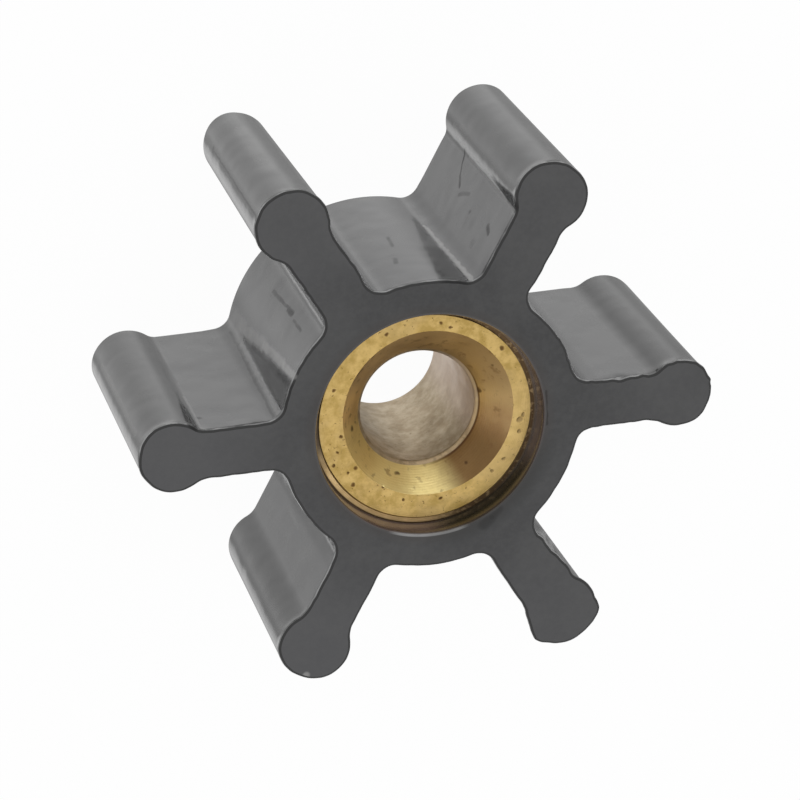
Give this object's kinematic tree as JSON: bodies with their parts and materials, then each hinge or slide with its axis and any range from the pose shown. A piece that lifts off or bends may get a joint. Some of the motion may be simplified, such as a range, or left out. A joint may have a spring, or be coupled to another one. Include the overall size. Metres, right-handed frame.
{
  "type": "rubber pump impeller",
  "caption": "Moulded rubber vane wheel with round-tipped vanes, bonded round a countersunk brass bush for a straight shaft.",
  "frame": {"origin": "on the bore's axis at the back face of the rubber wheel", "axes": "+Z along the bore's axis, out of the front face; one vane points along +X"},
  "size_m": [0.04, 0.0354, 0.0183],
  "materials": {
    "black_rubber": "moulded, slightly glossy",
    "turned_brass": "turned, slightly pitted"
  },
  "bodies": {
    "root": {"vane_wheel": "black_rubber", "brass_bush": "turned_brass"}
  },
  "joints": []
}
